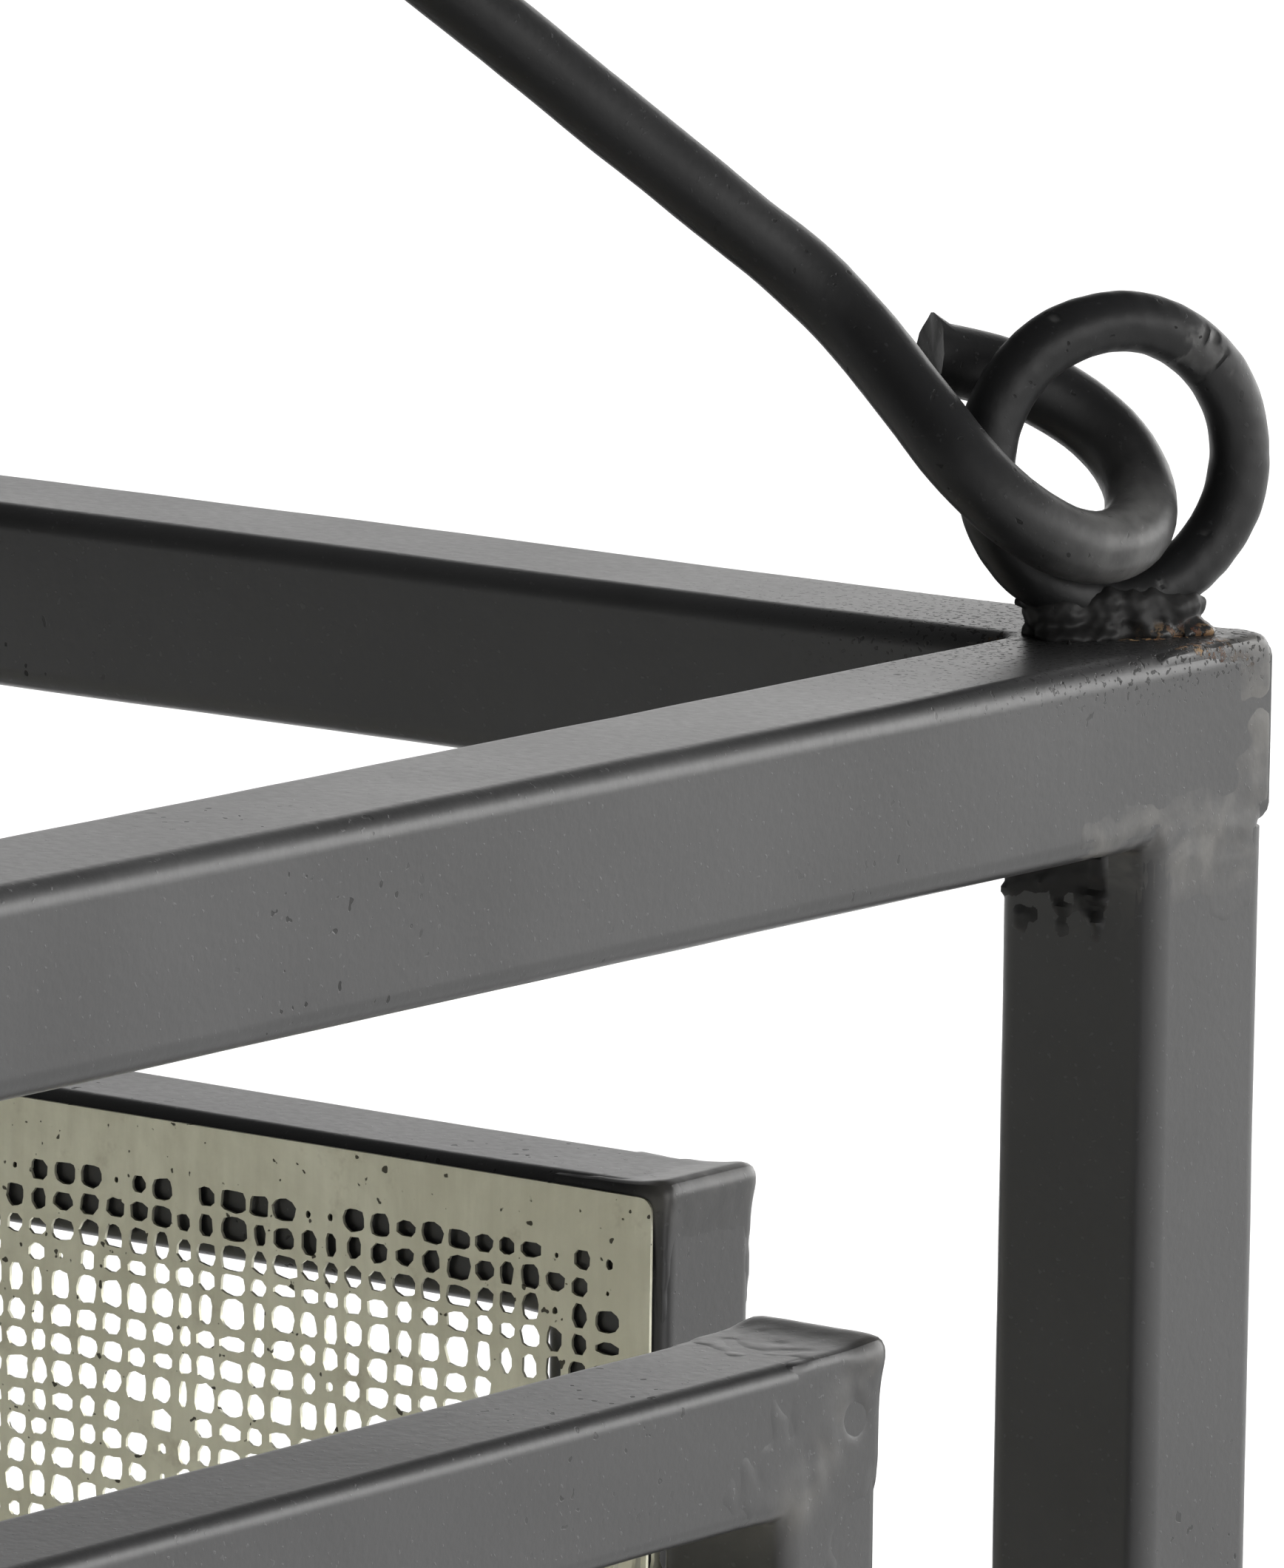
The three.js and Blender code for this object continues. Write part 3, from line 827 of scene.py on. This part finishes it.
# %% [markdown]
# ## Wire rings
# A ring is bent wire, not quite round and not quite even. It is drawn as a torus with a ripple, and
# carries a mark where a flake of paint has come off its shoulder.
# %% Bend the rings
RING_WIRE, RING_TWIST = 4 * MM, math.radians(15)
RING_STEPS, RING_SIDES = 300, 40
DIAGONAL = math.atan2(top_high.y, top_high.x)
rings = {}
for name, end in (("back_right", 1), ("front_left", -1)):
    low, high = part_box(f"ring_{name}")
    centre, radius = np.array((low + high) / 2), (high.z - low.z - RING_WIRE) / 2
    turn = DIAGONAL + end * RING_TWIST
    out = end * np.array([math.cos(turn), math.sin(turn), 0])
    side = np.array([-math.sin(turn), math.cos(turn), 0])
    rings[name] = centre, radius, out, side, end
    big, small = np.meshgrid(angles_round(RING_STEPS), angles_round(RING_SIDES), indexing="ij")
    spoke = np.cos(big)[..., None] * out + np.sin(big)[..., None] * UP
    way = (np.cos(small)[..., None] * spoke + np.sin(small)[..., None] * side).reshape(-1, 3)
    points = centre + (radius * spoke).reshape(-1, 3) + RING_WIRE / 2 * way
    shoulder = centre + radius * (0.62 * out + 0.78 * UP) + 1.6 * MM * side * -end
    flake = np.exp(-(((points - shoulder) / (1.5 * MM)) ** 2).sum(1))
    flake = fade(flake + 0.2 * ripple(points, 1.2 * MM, 9), 0.42, 0.52)
    lift = 0.035 * ripple(points, 7 * MM, 8) + 0.012 * ripple(points, 1.8 * MM, 10) - 0.16 * flake - 0.02
    points = points + way * (lift * MM)[:, None]
    make_piece(f"wire_ring_{name}", points, closed_faces(RING_STEPS, RING_SIDES), rod_paint,
               [f"ring_{name}"], marks={"wear_and_highlight": 0.5 * flake})
print("2 rings of", round(1000 * radius, 1), "mm radius")

# %% [markdown]
# ## Ring welds
# A ring is held by an unground weld: black lumps along the foot of the wire, with drops beside them
# and rust in the hollows. Balls of several sizes are fused and roughened. A ball's place is given
# along the wire's foot, beside it and above the rails.
# %% Lay the ring welds
BEAD_HALF, BEAD_VOXEL, SPECKS = 6.5 * MM, 0.22 * MM, 14
END_DROPS = ((-1.0, 2.4, 0.45), (-0.74, 1.9, 0.8), (0.84, 0.9, 0.9), (0.93, 1.6, 0.8))


def pile_of_balls(centre, out, side, end):
    """The overlapping balls of one ring weld, still to be fused."""
    draw = np.random.default_rng(77)
    work = bmesh.new()

    def ball(share, beside, rise, size, squash=1.0):
        at = centre + out * (share * BEAD_HALF) + side * (beside * MM)
        made = bmesh.ops.create_icosphere(work, subdivisions=2, radius=size * MM)["verts"]
        for v in made:
            v.co = Vector((at[0] + v.co.x, at[1] + v.co.y, top_high.z + rise * MM + v.co.z * squash))

    # The main bead, highest at its two ends, and a second row on one side of the wire.
    for share in np.linspace(-0.58, 0.64, 12):
        ball(share, draw.normal(0, 0.15), 1.15 + 1.5 * share * share, draw.uniform(2.3, 2.5), 0.76)
    for share in np.linspace(-0.25, 0.40, 7):
        ball(share, -1.05 * end, 2.15, draw.uniform(1.35, 1.6), 0.9)
    # Low toes on both sides, then single drops at the ends and specks round about.
    for share in np.linspace(-0.62, 0.78, 8):
        for beside in (-1, 1):
            ball(share, beside * draw.uniform(0.9, 1.6), 0.2, draw.uniform(1.3, 1.9), 0.5)
    for share, rise, size in END_DROPS:
        ball(share, 0, rise, size)
    for _ in range(SPECKS):
        ball(draw.uniform(-0.9, 1.0), draw.uniform(-3.5, 3.5), 0, draw.uniform(0.2, 0.36))
    return work


for name, (centre, radius, out, side, end) in rings.items():
    points, faces, ways = fuse(pile_of_balls(centre, out, side, end), BEAD_VOXEL, 5)
    lift = 0.07 * ripple(points, 2.2 * MM, 12) + 0.03 * ripple(points, 0.8 * MM, 13)
    points = points + ways * (lift * MM)[:, None]
    foot = 1 - fade(points[:, 2] - top_high.z, 0.2 * MM, 1.3 * MM)
    foot = foot * fade((points - centre) @ out + 1.5 * MM * ripple(points, 3 * MM, 32), 0, 4 * MM)
    make_piece(f"ring_bead_{name}", points, faces, frame_paint, [f"ring_weld_{name}"],
               marks={"soot": 1 - foot, "rust": 0.9 * foot, "spatter": np.zeros(len(points))})
print("2 lumpy welds")

# %% [markdown]
# ## The bail
# One rod makes the whole handle. Its shanks are straight, its top is a bend, and each end winds into
# an eye round a ring's wire. The line of the rod is a smooth curve through the same points as the
# CAD's, from the cut end of one eye over the top and mirrored to the other. The eye's points are a
# table that wasn't drawn by hand: a fitting program found them, keeping the rod clear of the ring.
# Their unit is the distance between the rod's middle and the wire's when the two just touch.
# %% Draw the line of the rod
ROD, SLOPE, TOP_RADIUS, GRIP = 4.8 * MM, math.radians(38.6), 24 * MM, math.radians(160)
LINE_SAMPLES, LINE_STEP = 24, 0.9 * MM
EYE = ((-3.77, -0.50, 2.87), (-2.98, -0.54, 2.24), (-2.29, -0.37, 1.59), (-1.70, 0.02, 0.91),
       (-1.17, 0.55, 0.21), (-0.62, 1.03, -0.50), (0.07, 1.18, -1.17), (0.88, 0.95, -1.67),
       (1.68, 0.43, -1.85), (2.23, -0.25, -1.64), (2.33, -0.93, -1.12), (1.96, -1.45, -0.50),
       (1.23, -1.70, 0.05), (0.30, -1.68, 0.46), (-0.76, -1.41, 0.72))


def smooth_line(points, samples):
    """A centripetal Catmull-Rom curve through the points, as the CAD's library draws it."""
    points = np.array(points)
    ends = [2 * points[0] - points[1], *points, 2 * points[-1] - points[-2]]
    line = []
    for k in range(1, len(ends) - 2):
        p = ends[k - 1:k + 3]
        gap = [np.linalg.norm(p[i + 1] - p[i]) ** 0.5 for i in range(3)]
        start = (p[1] - p[0]) / gap[0] - (p[2] - p[0]) / (gap[0] + gap[1]) + (p[2] - p[1]) / gap[1]
        stop = (p[2] - p[1]) / gap[1] - (p[3] - p[1]) / (gap[1] + gap[2]) + (p[3] - p[2]) / gap[2]
        start, stop = start * gap[1], stop * gap[1]
        for t in np.linspace(0, 1, samples, endpoint=False):
            line.append(p[1] + start * t + (3 * (p[2] - p[1]) - 2 * start - stop) * t * t
                        + (2 * (p[1] - p[2]) + start + stop) * t ** 3)
    line = np.array([*line, points[-1]])
    length = np.r_[0, np.cumsum(np.linalg.norm(np.diff(line, axis=0), axis=1))]
    even = np.linspace(0, length[-1], round(length[-1] / LINE_STEP))
    return np.stack([np.interp(even, length, line[:, i]) for i in range(3)], 1)


centre, radius = rings["back_right"][:2]
reach = math.hypot(centre[0], centre[1])
wire = radius * np.array([math.cos(GRIP) * math.cos(RING_TWIST),
                          -math.cos(GRIP) * math.sin(RING_TWIST), math.sin(GRIP)])
eye = [wire + np.array(point) * (ROD + RING_WIRE) / 2 for point in EYE]
eye[0][1] = 0
peak = eye[0][2] + (reach + eye[0][0]) * math.tan(SLOPE)
bend_centre = peak - TOP_RADIUS / math.cos(SLOPE)
bend = [np.array([TOP_RADIUS * math.sin(a) - reach, 0, bend_centre + TOP_RADIUS * math.cos(a)])
        for a in SLOPE - np.linspace(0, SLOPE, 9)]
shank = [eye[0] + (bend[0] - eye[0]) * [1, 0, 1] * share for share in np.linspace(0, 1, 7)[1:-1]]
half = np.array([*eye[::-1], *shank, *bend])
diagonal, sideways = np.array([1, 1, 0]) / math.sqrt(2), np.array([1, -1, 0]) / math.sqrt(2)
back_half, front_half = ([end * diagonal * (reach + p[0]) + sideways * p[1] + UP * (centre[2] + p[2])
                          for p in half] for end in (1, -1))
line = smooth_line(back_half + front_half[:-1][::-1], LINE_SAMPLES)
print("bail of", round(np.linalg.norm(np.diff(line, axis=0), axis=1).sum() * 1000), "mm of rod")

# %% [markdown]
# A round section is carried along that line without twist: each hoop of points starts from the
# direction in which the last one did. The cut ends are left slanted with a burr. At the lowest point
# of each eye, where it rubs on its ring, the paint is marked lighter and smoother: rubbed paint and a
# painted highlight.
# %% Carry the rod's section along the line
ROD_SIDES = 24
ahead = np.gradient(line, axis=0)
ahead /= np.linalg.norm(ahead, axis=1)[:, None]
over = np.cross(ahead[0], sideways)
hoops = []
for point, way in zip(line, ahead):
    over = over - way * (over @ way)
    over /= np.linalg.norm(over)
    hoops.append((over, np.cross(way, over)))
ways = np.array([[math.cos(a) * u + math.sin(a) * v for a in angles_round(ROD_SIDES)] for u, v in hoops])
points = line[:, None] + ROD / 2 * ways
skin = points.reshape(-1, 3)
lift = 0.03 * ripple(skin, 9 * MM, 14) + 0.01 * ripple(skin, 2.2 * MM, 15) - 0.015
points = points + ways * (lift.reshape(len(line), ROD_SIDES) * MM)[..., None]
caps = []
for end, way in ((0, -1), (-1, 1)):
    upwards = UP - ahead[end][2] * ahead[end]
    up_here = ways[end] @ upwards / np.linalg.norm(upwards)
    burr = near(1 - up_here, 0.10)
    torn = 0.12 * ripple(points[end], 1.6 * MM, 33)
    longer = ((0.1 * up_here + 0.15 * burr + torn) * MM)[:, None]
    points[end] += way * ahead[end] * longer + ways[end] * (0.5 * burr * MM)[:, None]
    caps.append(points[end].mean(0) - way * ahead[end] * 0.35 * MM)
every = np.vstack([points.reshape(-1, 3), caps])
halfway = len(line) // 2
# Rubbed paint round the lowest point of each eye, painted lighter as a highlight.
rub_and_highlight_spots = [line[np.argmin(line[:halfway, 2])], line[halfway + np.argmin(line[halfway:, 2])]]
wear_and_highlight = near(np.min([np.linalg.norm(every - at, axis=1) for at in rub_and_highlight_spots], axis=0), 5.5 * MM)
make_piece("bail_rod", every, tube_faces(len(line), ROD_SIDES), rod_paint, ["bail"],
           body="bail", sharp=50, marks={"wear_and_highlight": wear_and_highlight})
print("rod of", len(line), "hoops with", ROD_SIDES, "points each")

# %% [markdown]
# ## Floor plate
# The candle stands on a plate of sheet steel. Cut sheet is nearly flat, with a slightly rounded edge
# and shallow dents.
# %% Cut the floor plate
PLATE_CELLS, PLATE_ROUNDING = 60, 0.35 * MM
low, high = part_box("floor_plate")
grid = np.linspace(0, 1, PLATE_CELLS + 1)
grid[1], grid[-2] = 0.004, 0.996
gx, gy = np.meshgrid(low.x + grid * (high.x - low.x), low.y + grid * (high.y - low.y), indexing="ij")
edge = np.minimum.reduce([gx - low.x, high.x - gx, gy - low.y, high.y - gy])
rounded = PLATE_ROUNDING * (1 - fade(edge, 0, 0.5 * MM))
places = np.stack([gx, gy, np.zeros_like(gx)], -1).reshape(-1, 3)
dents = (0.12 * MM * np.maximum(ripple(places, 45 * MM, 16), 0)
         + 0.01 * MM * np.abs(ripple(places, 6 * MM, 17)))
top = places + UP * (high.z - dents - rounded.ravel())[:, None]
under = places + UP * (low.z + rounded.ravel())[:, None]
index = np.arange(top.shape[0]).reshape(gx.shape)
faces = []
for i in range(PLATE_CELLS):
    for j in range(PLATE_CELLS):
        face = (index[i, j], index[i + 1, j], index[i + 1, j + 1], index[i, j + 1])
        faces += [face, tuple(top.shape[0] + k for k in reversed(face))]
loop = [*index[:-1, 0], *index[-1, :-1], *index[:0:-1, -1], *index[0, :0:-1]]
for k, here in enumerate(loop):
    after = loop[(k + 1) % len(loop)]
    faces.append((here, len(top) + here, len(top) + after, after))
make_piece("floor_sheet", np.vstack([top, under]), faces, frame_paint, ["floor_plate"])
print("floor plate", round(1000 * (high.x - low.x)), "mm square")

# %% [markdown]
# ## Turned pieces
# The candle and the ring that keeps it in place are round, so each is a profile carried round an
# axis. The candle's wax has sunk round the wick and its shoulder is soft. The ring is a strip of
# steel, rolled and rounded at its edges.
# %% Turn the candle and its ring
def round_off(profile, rounds=3):
    """Cuts the corners of a profile again and again, which leaves it smooth (Chaikin's way)."""
    for _ in range(rounds):
        cut = [p for a, b in zip(profile, profile[1:])
               for p in (0.75 * a + 0.25 * b, 0.25 * a + 0.75 * b)]
        profile = [profile[0], *cut, profile[-1]]
    return profile


def lathe(profile, centre, steps, wobble, seed):
    """Carries a profile of (radius, height), which starts and ends on the axis or joins itself, round."""
    profile = np.array(profile)
    angles = angles_round(steps)
    spin = np.stack([np.cos(angles), np.sin(angles), np.zeros(steps)], -1)
    points = centre + profile[:, None, :1] * spin + profile[:, None, 1:] * UP
    flat = points.reshape(-1, 3)
    shift = wobble * ripple(flat, 26 * MM, seed) + 0.25 * wobble * ripple(flat, 5 * MM, seed + 1)
    way = np.broadcast_to(spin, points.shape).reshape(-1, 3)
    return flat + way * shift[:, None] + UP * (0.6 * shift)[:, None]


CANDLE_STEPS, STRIP_STEPS = 96, 120
STRIP_THICK, STRIP_ROUNDING = 1.5 * MM, 0.3 * MM
low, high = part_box("candle")
radius, height = (high.x - low.x) / 2, high.z - low.z
axis = np.array([(low.x + high.x) / 2, (low.y + high.y) / 2, low.z])
wide, tall = radius / MM, height / MM
rough = [(0.001, 0.3), (wide - 1, 0.3), (wide - 0.3, 1.2), (wide - 0.2, 40), (wide - 0.2, 80),
         (wide - 0.2, tall - 3), (wide - 1.8, tall - 0.5), (wide - 5, tall - 1.2),
         (0.6 * wide, tall - 3.0), (0.25 * wide, tall - 3.4), (0.06 * wide, tall - 3.1),
         (1.25, tall - 2.6), (1.1, tall - 4), (0.001, tall - 5)]
profile = round_off([np.array(p) * MM for p in rough])
points = lathe(profile, axis, CANDLE_STEPS, 0.10 * MM, 18)
points = np.vstack([points, [axis + [0, 0, profile[0][1]], axis + [0, 0, profile[-1][1]]]])
make_piece("wax_pillar", points, tube_faces(len(profile), CANDLE_STEPS), poured_wax, ["candle"],
           body="candle")
print("candle", round(2000 * radius), "mm across")

low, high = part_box("candle_ring")
outside, inside = (high.x - low.x) / 2, (high.x - low.x) / 2 - STRIP_THICK
axis = np.array([0, 0, low.z])
tall, rim = high.z - low.z, STRIP_ROUNDING
loop = [(inside, rim), (inside + rim, 0), (outside - rim, 0), (outside, rim),
        (outside, tall / 3), (outside, 2 * tall / 3), (outside, tall - rim), (outside - rim, tall),
        (inside + rim, tall), (inside, tall - rim), (inside, 2 * tall / 3), (inside, tall / 3)]
points = lathe(loop, axis, STRIP_STEPS, 0.04 * MM, 21)
make_piece("candle_strip", points, closed_faces(len(loop), STRIP_STEPS), frame_paint,
           ["candle_ring"])
print("its ring", round(2000 * inside), "mm inside")

# %% [markdown]
# ## The wick
# Braided cotton is three strands laid over each other. The section bulges three times round, and
# turns as it climbs, which reads as a braid at this size. The tip leans a little and narrows.
# %% Braid the wick
WICK_SIDES, WICK_LEVELS, LEAN = 30, 70, 0.25 * MM
low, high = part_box("wick")
radius, length = (high.x - low.x) / 2, high.z - low.z
x, y = (low.x + high.x) / 2, (low.y + high.y) / 2
angle = angles_round(WICK_SIDES)
points = []
for level in range(WICK_LEVELS):
    share = level / (WICK_LEVELS - 1)
    lean = LEAN * fade(share, 0.5, 1.0)
    bulge = np.abs(np.cos(1.5 * (angle - 9.0 * share * math.pi)))
    r = (radius - 0.08 * MM - lean) * (0.66 + 0.34 * bulge) * (1 - 0.25 * fade(share, 0.96, 1.0))
    points.append(np.stack([x + lean + r * np.cos(angle), y + r * np.sin(angle),
                            low.z + share * length - 0.1 * MM * bulge], -1))
points = np.vstack([*points, [[x, y, low.z], [x + LEAN, y, high.z - 0.05 * MM]]])
make_piece("braided_wick", points, tube_faces(WICK_LEVELS, WICK_SIDES), cotton_braid,
           ["wick"], body="candle", sharp=60)
print("wick", round(1000 * length), "mm long")
